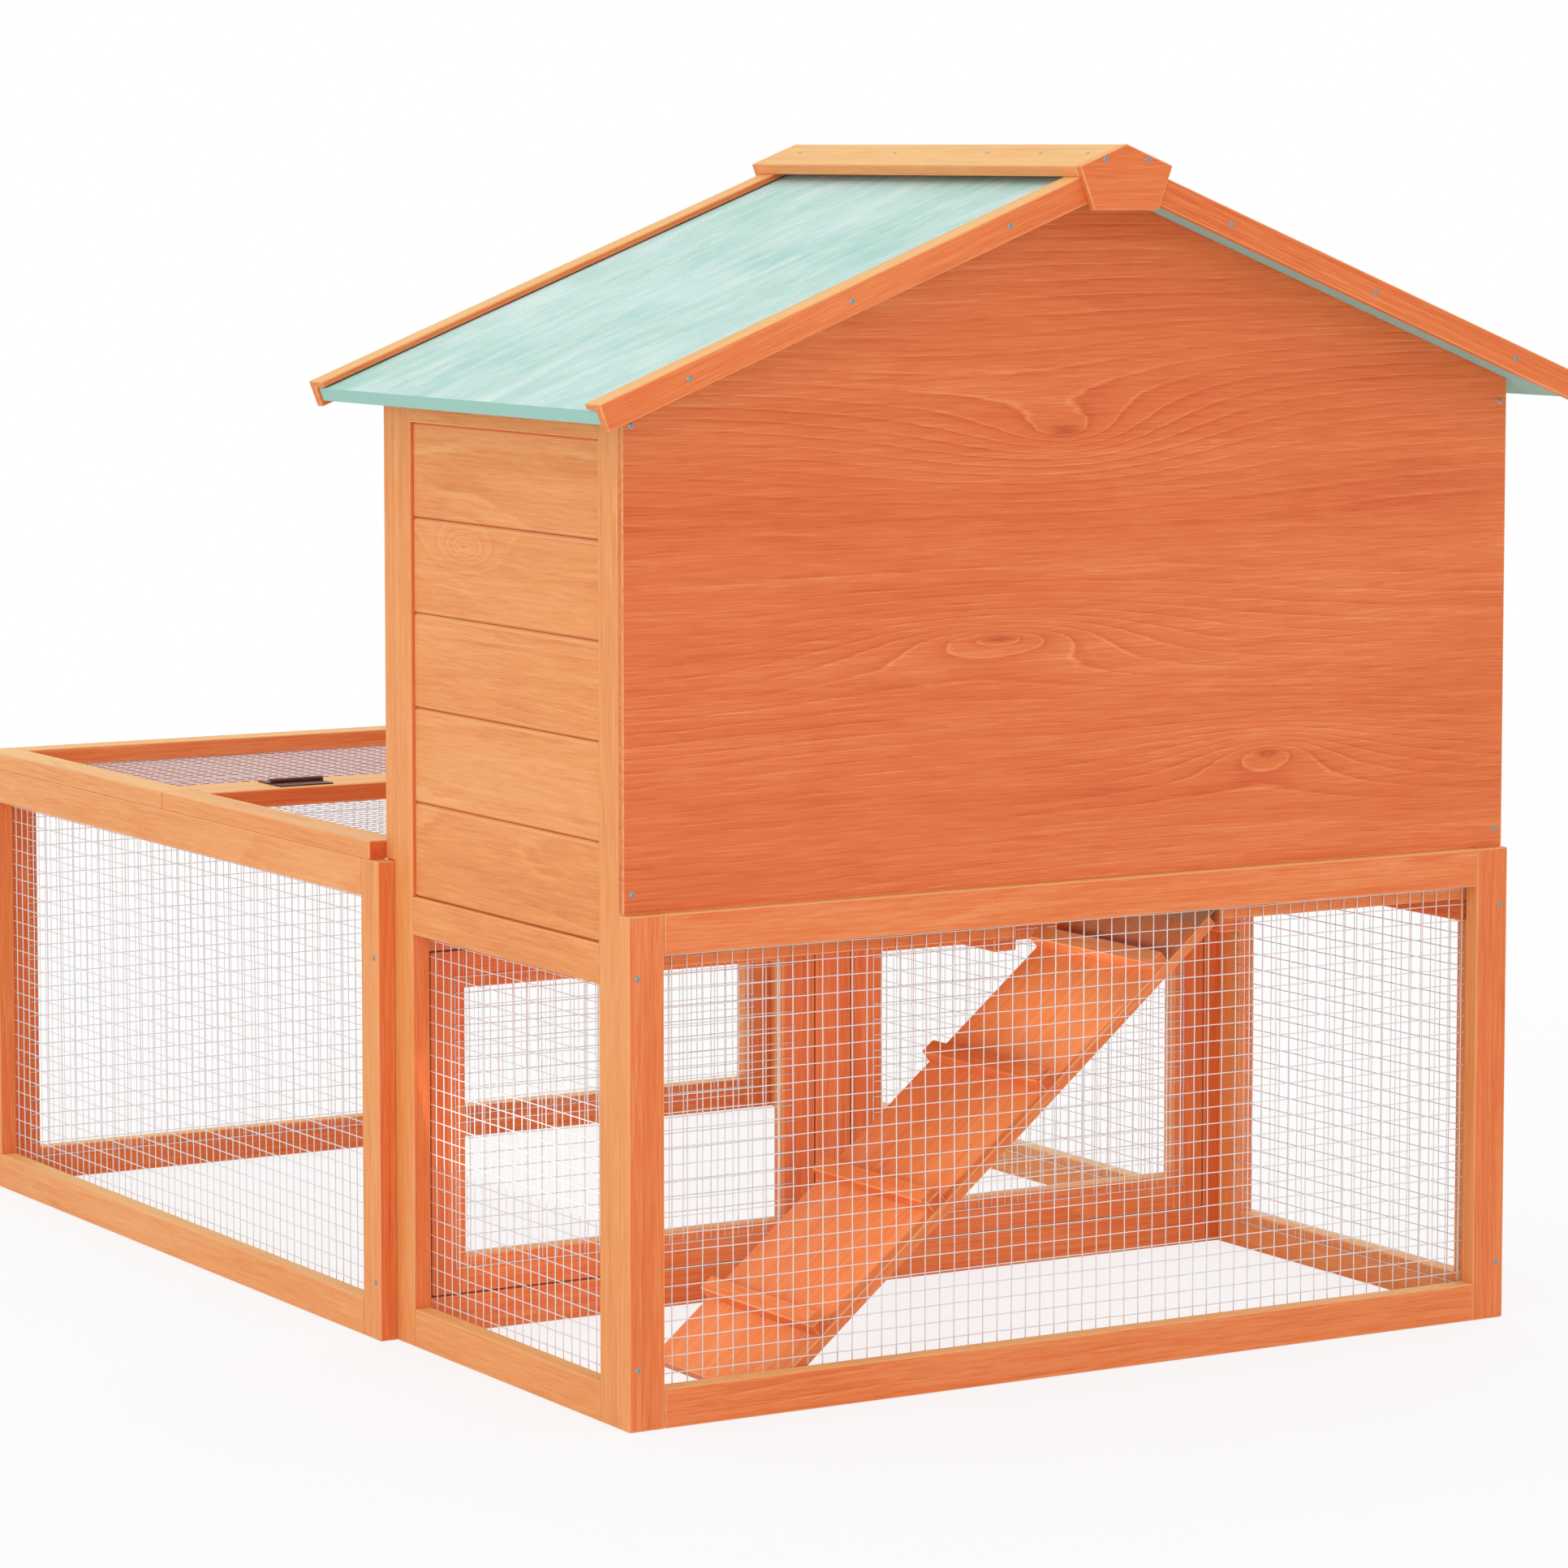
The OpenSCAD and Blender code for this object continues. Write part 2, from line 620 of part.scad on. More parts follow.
module at_lid_hinges()
  for (x = [-hw + lid_hinge_inset, hw - lid_hinge_inset - hinge_l])
    translate([x, seam_y, low_h + stock_t + axis_h]) rotate([90, 0, 90]) children();

module at_ramp_hinges(turn)
  for (y = [0, ramp_w - hinge_l])
    translate([ramp_x, ramp_y0 + y, ramp_axis_z]) rotate([0, turn, 0])
      translate([0, hinge_l, 0]) rotate([90, 0, 0]) children();

module lid_hinge_fixed_leaves() color("#5A4A40") place() at_lid_hinges() hinge_leaf(-1, false);
module lid_hinge_moving_leaves() color("#5A4A40") place() at_lid_hinges() hinge_leaf(1, true);

module door_hinge_frame_leaves() color("#B9BDBE") place() both_sides() {
  at_door_hinges(low_door_z, low_door_h) hinge_leaf(-1, false);
  at_door_hinges(up_door_z, up_door_h) hinge_leaf(-1, false);
}
module lower_left_door_leaves() color("#B9BDBE") place()
  at_door_hinges(low_door_z, low_door_h) hinge_leaf(1, true);
module lower_right_door_leaves() color("#B9BDBE") place()
  mirror([1, 0, 0]) at_door_hinges(low_door_z, low_door_h) hinge_leaf(1, true);
module upper_left_door_leaves() color("#B9BDBE") place()
  at_door_hinges(up_door_z, up_door_h) hinge_leaf(1, true);
module upper_right_door_leaves() color("#B9BDBE") place()
  mirror([1, 0, 0]) at_door_hinges(up_door_z, up_door_h) hinge_leaf(1, true);

module ramp_hinge_floor_leaves() color("#B9BDBE") place()
  at_ramp_hinges(0) hinge_leaf(1, false);
module ramp_hinge_ramp_leaves() color("#B9BDBE") place()
  at_ramp_hinges(-ramp_angle) hinge_leaf(-1, true);

module hinge_pins() color("#9AA0A2") place() {
  at_lid_hinges() pin();
  both_sides() {
    at_door_hinges(low_door_z, low_door_h) pin();
    at_door_hinges(up_door_z, up_door_h) pin();
  }
  at_ramp_hinges(0) pin();
}

// Turn button, upright when it lets the doors open
module turn_button(z)
  translate([0, house_d + run_gap + button_t, z]) rotate([90, 0, 0]) difference() {
    union() {
      translate([-button_w / 2, -(button_l - button_w) / 2, 0])
        cube([button_w, button_l - button_w, button_t]);
      for (v = [-1, 1])
        translate([0, v * (button_l - button_w) / 2, 0]) cylinder(r = button_w / 2, h = button_t);
    }
    translate([0, 0, -1]) cylinder(r = pivot_r + fit_gap, h = button_t + 2);
  }
module upper_turn_button() color("#E9935A") place() turn_button(up_button_z);
module lower_turn_button() color("#E9935A") place() turn_button(low_button_z);

module button_pivot_screws() color("#9AA0A2") place()
  for (z = [low_button_z, up_button_z]) {
    shank = button_t + 2 * run_gap;
    translate([0, house_d + shank, z]) rotate([90, 0, 0]) cylinder(r = pivot_r, h = shank);
    translate([0, house_d + shank + pivot_head_h, z]) rotate([90, 0, 0])
      cylinder(r = pivot_head_r, h = pivot_head_h);
  }

// A screw head on a face that looks towards -Y, its foot on that face
module head() rotate([90, 0, 0]) cylinder(r = screw_r, h = screw_h);

module frame_screws() color("#8D9496") place() both_sides() {
  edge = stock_w / 4;
  for (z = [screw_low, low_h - screw_low]) translate([hw - edge, 0, z]) head();
  for (z = [low_h + stock_w / 2, side_h - gable_screw_drop])
    translate([hw - edge, stock_t - wall_t, z]) head();
  for (z = [screw_low, run_screw_z])
    translate([hw + stock_t, front_y + edge, z]) rotate([0, 0, 90]) head();
  for (i = [0:trim_screw_count - 1]) {
    x = trim_screw_first + i * trim_screw_pitch;
    z = ridge_z - x * tan(slope) + (trim_low + trim_top) / 2;
    translate([x, -over_y, z]) head();
    to_front() translate([x, -over_y, z]) head();
  }
  translate([plate_screw_x, -over_y - plate_t, cap_end_z + screw_r * 2]) head();
  to_front() translate([plate_screw_x, -over_y - plate_t, cap_end_z + screw_r * 2]) head();
}

back_lower_frame();
back_mesh();
back_gable_wall();
left_side_frame();
right_side_frame();
left_side_boards();
right_side_boards();
left_side_mesh();
right_side_mesh();
front_lower_frame();
front_upper_frame();
front_gable_board();
lower_left_door();
lower_left_door_mesh();
lower_right_door();
lower_right_door_mesh();
upper_left_door();
upper_right_door();
upper_right_door_mesh();
floor_boards();
floor_bearers();
nest_partition();
ramp_board();
ramp_cleats();
roof_deck_left();
roof_deck_right();
roof_felt_left();
roof_felt_right();
back_trim_left();
back_trim_right();
front_trim_left();
front_trim_right();
ridge_board_left();
ridge_board_right();
back_ridge_plate();
front_ridge_plate();
run_left_frame();
run_right_frame();
run_end_frame();
run_left_mesh();
run_right_mesh();
run_end_mesh();
near_lid_frame();
near_lid_mesh();
far_lid_frame();
far_lid_mesh();
lid_hinge_fixed_leaves();
lid_hinge_moving_leaves();
door_hinge_frame_leaves();
lower_left_door_leaves();
lower_right_door_leaves();
upper_left_door_leaves();
upper_right_door_leaves();
ramp_hinge_floor_leaves();
ramp_hinge_ramp_leaves();
hinge_pins();
upper_turn_button();
lower_turn_button();
button_pivot_screws();
frame_screws();
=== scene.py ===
import json
import math
import random

import bmesh
import bpy
import numpy as np
from mathutils import Matrix, Vector


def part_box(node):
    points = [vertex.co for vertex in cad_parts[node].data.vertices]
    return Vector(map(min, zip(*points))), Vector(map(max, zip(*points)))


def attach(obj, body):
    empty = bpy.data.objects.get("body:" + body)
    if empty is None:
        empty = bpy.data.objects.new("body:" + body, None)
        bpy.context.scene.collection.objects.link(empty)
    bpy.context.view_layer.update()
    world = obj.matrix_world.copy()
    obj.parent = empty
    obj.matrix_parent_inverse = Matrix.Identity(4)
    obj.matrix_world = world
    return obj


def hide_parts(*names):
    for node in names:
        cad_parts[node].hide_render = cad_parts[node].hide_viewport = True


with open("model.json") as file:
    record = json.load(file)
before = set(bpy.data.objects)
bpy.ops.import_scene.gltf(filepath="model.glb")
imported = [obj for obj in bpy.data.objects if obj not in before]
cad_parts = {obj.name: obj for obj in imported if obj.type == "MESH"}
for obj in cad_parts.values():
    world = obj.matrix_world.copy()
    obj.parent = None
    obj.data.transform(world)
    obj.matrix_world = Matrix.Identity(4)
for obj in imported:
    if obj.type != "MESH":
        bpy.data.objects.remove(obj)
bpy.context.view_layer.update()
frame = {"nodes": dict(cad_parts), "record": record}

record = frame["record"]
bodyOf = {node: body for body, nodes in record["behaviour"]["bodies"].items() for node in nodes}
print("frame loaded:", len(frame["nodes"]), "parts")

# Camera, floor and light

studio = {
    "cameraPlace": (-2.3601, -4.0792, 0.9392),
    "cameraTurn": (84.771, 0.0, -30.720),
    "lens": 127.99,
    "sensor": 36.0,
    "shiftY": -0.08,
    "farthest": 100.0,
    "floorSize": 30.0,
    "floorDrop": 0.0003,           # below the feet, so that they don't lie in the same plane
    "floorTint": (0.93, 0.93, 0.93, 1.0),
    "floorRoughness": 0.9,
    "floorGlow": (0.80, 1.0),      # share of plain white near the object, and far from it
    "glowReach": (1.2, 5.0),       # metres over which it grows
    "roomLight": 0.88,
}

plainWhite = (1.0, 1.0, 1.0)
warmWhite = (1.0, 0.99, 0.97)

# name, place, aimed at, size across, size up, watts, colour
lamps = [
    ("lowLamp", (-2.2, -4.6, 0.75), (0.0, -0.2, 0.25), 2.4, 1.2, 30.0, warmWhite),
    ("leftLamp", (-5.0, -0.6, 1.2), (0.0, 0.0, 0.3), 2.0, 1.4, 18.0, warmWhite),
    ("topLamp", (0.4, 0.6, 4.8), (0.0, 0.1, 0.4), 3.0, 3.0, 16.0, plainWhite),
    ("backLamp", (4.4, 3.2, 2.6), (0.0, 0.2, 0.4), 2.6, 2.0, 14.0, warmWhite),
    # small ones under the floor of the hutch, which light the ramp and the doors behind it
    ("roomLampLeft", (-0.382, -0.36, 0.12), (0.0, -0.36, 0.20), 0.28, 0.22, 0.13, warmWhite),
    ("roomLampBack", (-0.05, -0.536, 0.17), (-0.05, 0.0, 0.19), 0.60, 0.22, 0.26, warmWhite),
    ("roomLampRamp", (-0.03, -0.46, 0.315), (0.10, -0.46, 0.325), 0.15, 0.03, 0.075, warmWhite),
]


def addToScene(thing):
    bpy.context.scene.collection.objects.link(thing)


def addCamera():
    data = bpy.data.cameras.new("photoCamera")
    data.sensor_width = studio["sensor"]
    data.lens = studio["lens"]
    data.shift_y = studio["shiftY"]
    data.clip_end = studio["farthest"]
    camera = bpy.data.objects.new("photoCamera", data)
    camera.location = studio["cameraPlace"]
    camera.rotation_euler = [math.radians(a) for a in studio["cameraTurn"]]
    addToScene(camera)
    bpy.context.scene.camera = camera


def addLamp(name, place, aim, across, up, watts, colour):
    data = bpy.data.lights.new(name, "AREA")
    data.shape = "RECTANGLE"
    data.size = across
    data.size_y = up
    data.energy = watts
    data.color = colour
    lamp = bpy.data.objects.new(name, data)
    lamp.location = place
    lamp.visible_camera = False
    lamp.rotation_euler = (Vector(aim) - Vector(place)).to_track_quat("-Z", "Y").to_euler()
    addToScene(lamp)


# Small helpers for node trees

def rgb(code):
    parts = [int(code[i:i + 2], 16) / 255 for i in (0, 2, 4)]
    return tuple(c / 12.92 if c <= 0.04045 else ((c + 0.055) / 1.055) ** 2.4 for c in parts) + (1.0,)


def addNode(tree, kind, inputs=None, **settings):
    made = tree.nodes.new("ShaderNode" + kind)
    for name, value in settings.items():
        setattr(made, name, value)
    for name, value in (inputs or {}).items():
        if isinstance(value, bpy.types.NodeSocket):
            tree.links.new(value, made.inputs[name])
        else:
            made.inputs[name].default_value = value
    return made


def calc(tree, operation, a, b=0.0, clamp=False):
    return addNode(tree, "Math", {0: a, 1: b}, operation=operation, use_clamp=clamp).outputs[0]


def swing(tree, value, amount):
    # a value round one half, made to swing round zero
    return calc(tree, "MULTIPLY", calc(tree, "SUBTRACT", value, 0.5), amount)


def stretch(tree, vector, by):
    return addNode(tree, "VectorMath", {0: vector, 1: by}, operation="MULTIPLY").outputs[0]


def difference(tree, vector, other):
    return addNode(tree, "VectorMath", {0: vector, 1: other}, operation="SUBTRACT").outputs[0]


def cloud(tree, vector, detail, rough, output="Fac"):
    inputs = {"Vector": vector, "Scale": 1.0, "Detail": detail, "Roughness": rough}
    return addNode(tree, "TexNoise", inputs).outputs[output]


def attribute(tree, name, output="Vector"):
    return addNode(tree, "Attribute", attribute_name=name).outputs[output]


def objectPlace(tree):
    return addNode(tree, "TexCoord").outputs["Object"]


def axesOf(tree, vector):
    return addNode(tree, "SeparateXYZ", {0: vector}).outputs


def channelsOf(tree, colour):
    return addNode(tree, "SeparateColor", {0: colour}).outputs


def blend(tree, amount, first, second):
    return addNode(tree, "Mix", {0: amount, 6: first, 7: second}, data_type="RGBA").outputs[2]


def ramp(tree, value, stops):
    made = addNode(tree, "ValToRGB", {"Fac": value})
    points = made.color_ramp.elements
    while len(points) < len(stops):
        points.new(0.5)
    for point, (where, level) in zip(points, stops):
        point.position = where
        point.color = level if isinstance(level, tuple) else (level, level, level, 1.0)
    return made.outputs["Color"]


def newMaterial(name):
    material = bpy.data.materials.new(name)
    material.use_nodes = True
    tree = material.node_tree
    tree.nodes.clear()
    shader = addNode(tree, "BsdfPrincipled")
    tree.links.new(shader.outputs[0], addNode(tree, "OutputMaterial").inputs[0])
    return material, tree, shader


def addBump(tree, shader, height, strength, distance):
    bump = addNode(tree, "Bump", {"Height": height, "Strength": strength, "Distance": distance})
    tree.links.new(bump.outputs[0], shader.inputs["Normal"])


# Stained wood. The grain attribute runs along, across and through each board. The board attribute
# holds three chance values: tint, and the tilt and depth of the pith. The surface attribute holds
# wear with painted edge highlights, painted light (paler faces that look up or sideways) and pooled stain.

# colours from pale to dark grain
orangeStain = ("F2A068", "E4783E", "D05A28", "B0451C")
# painted light: a paler copy of the stain, for faces that look up or to the sides
paintedLitTones = ("FCCE8E", "F4BA6E", "E5984C", "CC7A3A")

# fresh grain and its paler painted-light copy, worn edges with painted highlights, hearts of knots,
# metres from ring to ring and strength of the figure. A cell of the grain holds a knot where its chance
# value is past knotsIn, so 2 gives none, and knots lists those that are given one by one, each with
# its middle and its reach.
stains = {
    "timber": {"fresh": orangeStain, "bleached": paintedLitTones, "worn": "F2A974", "heart": "A9401C",
               "ring": 0.0062, "figure": 0.36, "knotsIn": 0.82},
    "gable": {"fresh": ("F2A068", "E27640", "CE582A", "B0451C"), "bleached": paintedLitTones,
              "worn": "F2A974", "heart": "B04822", "ring": 0.0085, "figure": 0.48, "knotsIn": 2.0,
              "knots": [((-0.018, -0.556, 0.726), (0.130, 0.2, 0.038)),
                        ((-0.077, -0.556, 0.570), (0.120, 0.2, 0.020)),
                        ((0.172, -0.556, 0.470), (0.095, 0.2, 0.026))]},
    "siding": {"fresh": orangeStain, "bleached": paintedLitTones, "worn": "F2A974", "heart": "CE6A38",
               "ring": 0.0075, "figure": 0.50, "knotsIn": 2.0,
               "knots": [((-0.400, -0.302, 0.636), (0.2, 0.030, 0.011))]},
    "inner": {"fresh": ("F0A066", "E27C42", "CC5C2A", "AC4822"),
              "bleached": ("F3C48E", "E9A96C", "D68C50", "B9703C"),
              "worn": "F0B07A", "heart": "A9522A", "ring": 0.0054, "figure": 0.30, "knotsIn": 0.7},
}

# what all stained boards share
grainLook = {
    "wander": (1.3, 5.0, 5.0),          # noise cells per metre, for the pith line
    "wanderBy": (0.07, 0.022),          # metres across and through the board
    "lean": 0.045,
    "pithDepth": 0.05,
    "ragged": (24.0, 220.0, 220.0),
    "raggedBy": 0.0022,
    "ring": [(0.0, 0.44), (0.55, 0.56), (0.82, 0.92), (0.91, 0.05), (1.0, 0.44)],
    "knotCells": (2.2, 7.0, 2.0),       # cells per metre
    "knotReach": (0.10, 0.10, 0.3),     # in cells
    "knotPush": 7.0,                    # rings that a knot pushes aside
    "knotBold": 2.5,
    "knotHeart": [(0.86, 0.0), (0.96, 0.55)],
    "middleTone": 0.40,
    "tintBy": 0.16,
    "pooledBy": 0.55,
    "stops": (0.0, 0.42, 0.80, 1.0),    # the tones of the four colours of a stain
    "roughness": 0.52,
    "roughBy": 0.22,
    "gloss": 0.30,
    "bump": 0.35,
    "bumpDepth": 0.0004,
}

# noise cells per metre along, across and through the board, detail, roughness, weight in the tone
patterns = {
    "fibre": ((42.0, 1250.0, 1250.0), 3.0, 0.65, 0.50),
    "thread": ((20.0, 620.0, 620.0), 3.0, 0.65, 0.60),
    "streak": ((4.5, 150.0, 150.0), 2.0, 0.5, 0.32),
    "broad": ((2.2, 18.0, 18.0), 2.0, 0.5, 0.40),
    "blotch": ((7.0, 12.0, 12.0), 3.0, 0.6, 0.18),
}


def knotField(tree, away, reach):
    # one at the middle of a knot, fading to nothing round it
    scaled = stretch(tree, away, [1 / r for r in reach])
    distance = addNode(tree, "VectorMath", {0: scaled}, operation="LENGTH").outputs["Value"]
    return calc(tree, "EXPONENT", calc(tree, "MULTIPLY", distance, -1.0))


def stainRamp(tree, tone, codes):
    return ramp(tree, tone, [(stop, rgb(code)) for stop, code in zip(grainLook["stops"], codes)])


def woodMaterial(name, look):
    material, tree, shader = newMaterial(name)
    grain = attribute(tree, "grain")
    tint, tilt, depth = axesOf(tree, attribute(tree, "board"))
    wear, paintedLight, pooled = axesOf(tree, attribute(tree, "surface"))
    along, across, through = axesOf(tree, grain)

    # growth rings round a pith line that leans and wanders under the face
    wander = channelsOf(tree, cloud(tree, stretch(tree, grain, grainLook["wander"]), 1.0, 0.5, "Color"))
    acrossBy, throughBy = grainLook["wanderBy"]
    sideways = calc(tree, "ADD", across, swing(tree, wander[0], acrossBy))
    lean = calc(tree, "MULTIPLY", swing(tree, tilt, grainLook["lean"]), along)
    below = calc(tree, "ADD", calc(tree, "ADD", through, lean), swing(tree, wander[1], throughBy))
    below = calc(tree, "ADD", below, calc(tree, "MULTIPLY", depth, grainLook["pithDepth"]))
    squares = calc(tree, "ADD", calc(tree, "POWER", sideways, 2.0), calc(tree, "POWER", below, 2.0))
    ragged = cloud(tree, stretch(tree, grain, grainLook["ragged"]), 2.0, 0.6)
    radius = calc(tree, "ADD", calc(tree, "SQRT", squares), swing(tree, ragged, grainLook["raggedBy"]))

    # knots push the rings apart into eyes
    cells = stretch(tree, grain, grainLook["knotCells"])
    spots = addNode(tree, "TexVoronoi", {"Vector": cells, "Scale": 1.0, "Randomness": 1.0})
    away = difference(tree, cells, spots.outputs["Position"])
    chance = channelsOf(tree, spots.outputs["Color"])[0]
    chosen = calc(tree, "GREATER_THAN", chance, look["knotsIn"])
    knots = calc(tree, "MULTIPLY", knotField(tree, away, grainLook["knotReach"]), chosen)
    place = objectPlace(tree)
    for centre, reach in look.get("knots", []):
        knots = calc(tree, "ADD", knots, knotField(tree, difference(tree, place, centre), reach))
    push = calc(tree, "MULTIPLY", knots, grainLook["knotPush"])
    phase = calc(tree, "ADD", calc(tree, "DIVIDE", radius, look["ring"]), push)
    # each ring darkens slowly and ends in a thin pale line
    ring = ramp(tree, calc(tree, "FRACT", phase), grainLook["ring"])
    heart = ramp(tree, knots, grainLook["knotHeart"])

    cover = {}
    for pattern, (density, detail, rough, weight) in patterns.items():
        cover[pattern] = cloud(tree, stretch(tree, grain, density), detail, rough)

    # tone: zero is the palest grain, one the darkest
    patches = ramp(tree, cover["blotch"], [(0.42, 0.15), (0.66, 0.9)])
    bold = calc(tree, "MAXIMUM", patches, calc(tree, "MULTIPLY", knots, grainLook["knotBold"]), clamp=True)
    shown = calc(tree, "MULTIPLY", look["figure"], bold)
    tone = calc(tree, "ADD", grainLook["middleTone"], swing(tree, ring, shown))
    for pattern, (density, detail, rough, weight) in patterns.items():
        tone = calc(tree, "ADD", tone, swing(tree, cover[pattern], weight))
    tone = calc(tree, "ADD", tone, swing(tree, tint, grainLook["tintBy"]))
    tone = calc(tree, "ADD", tone, calc(tree, "MULTIPLY", pooled, grainLook["pooledBy"]), clamp=True)
    fresh = stainRamp(tree, tone, look["fresh"])
    # painted light: faces that look up or sideways take the paler copy of the stain
    bleached = stainRamp(tree, tone, look["bleached"])
    colour = blend(tree, paintedLight, fresh, bleached)
    colour = blend(tree, heart, colour, rgb(look["heart"]))
    # worn edges, paler, which also stand as painted highlights along the edges
    worn = calc(tree, "MULTIPLY", wear, ramp(tree, cover["streak"], [(0.35, 0.2), (0.65, 0.8)]))
    colour = blend(tree, worn, colour, rgb(look["worn"]))
    tree.links.new(colour, shader.inputs["Base Color"])

    rough = calc(tree, "ADD", grainLook["roughness"], swing(tree, cover["fibre"], grainLook["roughBy"]))
    tree.links.new(rough, shader.inputs["Roughness"])
    shader.inputs["Specular IOR Level"].default_value = grainLook["gloss"]
    threads = calc(tree, "MULTIPLY", cover["thread"], 0.5)
    height = calc(tree, "ADD", calc(tree, "MULTIPLY", cover["fibre"], 0.6), threads)
    height = calc(tree, "SUBTRACT", height, calc(tree, "MULTIPLY", ring, 0.25))
    addBump(tree, shader, height, grainLook["bump"], grainLook["bumpDepth"])
    return material


woods = {name: woodMaterial(name + "Wood", look) for name, look in stains.items()}
print("wood finishes:", len(woods))


# Pieces that follow a part of the frame

def pieceName(node):
    first, *rest = node.split("_")
    return first + "".join(word.capitalize() for word in rest)


def meshFrom(bm, name, material=None):
    mesh = bpy.data.meshes.new(name)
    bm.to_mesh(mesh)
    bm.free()
    if material:
        mesh.materials.append(material)
    return mesh


def dress(mesh, node, name=None, replace=True):
    piece = bpy.data.objects.new(name or pieceName(node), mesh)
    addToScene(piece)
    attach(piece, bodyOf[node])
    if replace:
        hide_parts(node)
    return piece


def solidCopy(node):
    # a part's triangles, joined and with their flat faces made whole again
    bm = bmesh.new()
    bm.from_mesh(frame["nodes"][node].data)
    bmesh.ops.remove_doubles(bm, verts=bm.verts, dist=0.00001)
    bmesh.ops.dissolve_limit(bm, angle_limit=math.radians(0.5), verts=bm.verts, edges=bm.edges)
    return bm


def islands(bm):
    # the faces of each separate board, in a steady order
    reached = set()
    found = []
    for first in bm.faces:
        if first in reached:
            continue
        reached.add(first)
        front = [first]
        group = []
        while front:
            face = front.pop()
            group.append(face)
            for edge in face.edges:
                for other in edge.link_faces:
                    if other not in reached:
                        reached.add(other)
                        front.append(other)
        found.append(group)
    middle = lambda group: sum((f.calc_center_median() for f in group), Vector()) / len(group)
    return sorted(found, key=lambda group: tuple(round(c, 4) for c in middle(group)))


def roundEdges(bm, width, segments, sharp):
    edges = [e for e in bm.edges if len(e.link_faces) == 2 and e.calc_face_angle(0.0) > math.radians(sharp)]
    return bmesh.ops.bevel(bm, geom=edges, offset=width, affect="EDGES", segments=segments, profile=0.5,
                           material=-1, clamp_overlap=True)["faces"]


def boardAxes(group):
    # along the longest edge, across the largest flat side, and through it
    edges = [e for f in group for e in f.edges]
    longest = max(edges, key=lambda e: (round(e.calc_length(), 5), tuple(e.verts[0].co)))
    along = (longest.verts[1].co - longest.verts[0].co).normalized()
    if along.dot(Vector((1, 0.9, 0.8))) < 0:
        along = -along
    flats = [f for f in group if abs(f.normal.dot(along)) < 0.3]
    normal = max(flats, key=lambda f: (round(f.calc_area(), 8), tuple(f.normal))).normal.copy()
    across = normal.cross(along).normalized()
    return along, across, across.cross(along).normalized() * -1


boardLook = {
    "edge": 0.0011,
    "edgeSteps": 2,
    "sharp": 25.0,              # degrees past which an edge is rounded
    # painted light: how much paler faces that look up and to the sides are painted
    "topBleach": 0.95,
    "sideBleach": 0.46,
    "shadeBleach": 0.18,        # share of the painted light that is left for pieces in the shade
    "grooveStain": 0.35,
    "endStain": 0.45,
    "slanted": 0.9,             # a face that looks less than this along every axis is a bevel
    "endwise": 0.8,             # one that looks more than this along the board is its end
    "slide": 20.0,              # metres by which the grain of a board may start elsewhere
    "sway": 0.03,
}
grooved = ["left_side_boards", "right_side_boards", "upper_left_door"]   # their bevels hold pooled stain
shaded = ["ramp_board", "ramp_cleats", "floor_bearers", "front_lower_frame"]   # under the hutch's floor, in the shade, so they get less painted light


def woodPiece(node, finish):
    bm = solidCopy(node)
    surface = bm.faces.layers.float_vector.new("surface")
    grain = bm.verts.layers.float_vector.new("grain")
    board = bm.verts.layers.float_vector.new("board")
    bevels = bm.faces.layers.int.new("bevels")
    for face in bm.faces:
        face[bevels] = node in grooved and max(abs(c) for c in face.normal) < boardLook["slanted"]
    rounded = roundEdges(bm, boardLook["edge"], boardLook["edgeSteps"], boardLook["sharp"])
    # rounded edges get the pale worn colour, wear and painted highlight together
    wear = {face: 1.0 for face in rounded}
    # painted shade: pieces under the floor get only a share of the painted light
    paintedLightShare = boardLook["shadeBleach"] if node in shaded else 1.0
    for i, group in enumerate(islands(bm)):
        dice = random.Random(node + str(i))
        along, across, through = boardAxes(group)
        verts = list(dict.fromkeys(v for f in group for v in f.verts))
        centre = sum((v.co for v in verts), Vector()) / len(verts)
        slide = dice.uniform(0, boardLook["slide"])
        sway = dice.uniform(-boardLook["sway"], boardLook["sway"])
        start = Vector((slide, sway, 0.0))
        nature = Vector((dice.random(), dice.random(), dice.random()))
        for v in verts:
            place = v.co - centre
            v[grain] = Vector((place.dot(along), place.dot(across), place.dot(through))) + start
            v[board] = nature
        for face in group:
            # painted light: faces that look up, and to either side along x, are painted paler
            up, side = max(face.normal.z, 0.0), abs(face.normal.x)
            paintedLight = min(1.0, paintedLightShare * (up * boardLook["topBleach"] + side * boardLook["sideBleach"]))
            stain = face[bevels] * boardLook["grooveStain"]
            if abs(face.normal.dot(along)) > boardLook["endwise"]:
                stain = boardLook["endStain"]
            face[surface] = Vector((wear.get(face, 0.0), paintedLight, stain))
    return dress(meshFrom(bm, pieceName(node), woods[finish]), node)


woodFinish = {
    "gable": ["back_gable_wall"],
    "timber": ["back_lower_frame", "front_lower_frame", "front_upper_frame", "front_gable_board",
               "lower_left_door", "lower_right_door", "upper_left_door", "upper_right_door",
               "run_end_frame", "back_trim_left", "back_trim_right", "front_trim_left",
               "front_trim_right", "back_ridge_plate", "front_ridge_plate", "floor_bearers",
               "ramp_board", "left_side_frame", "right_side_frame", "run_left_frame",
               "run_right_frame", "ridge_board_left", "ridge_board_right", "near_lid_frame",
               "far_lid_frame", "ramp_cleats", "upper_turn_button", "lower_turn_button"],
    "siding": ["left_side_boards", "right_side_boards"],
    "inner": ["floor_boards", "nest_partition", "roof_deck_left", "roof_deck_right"],
}

for finish, nodes in woodFinish.items():
    for node in nodes:
        woodPiece(node, finish)
print("boards made:", sum(len(nodes) for nodes in woodFinish.values()))


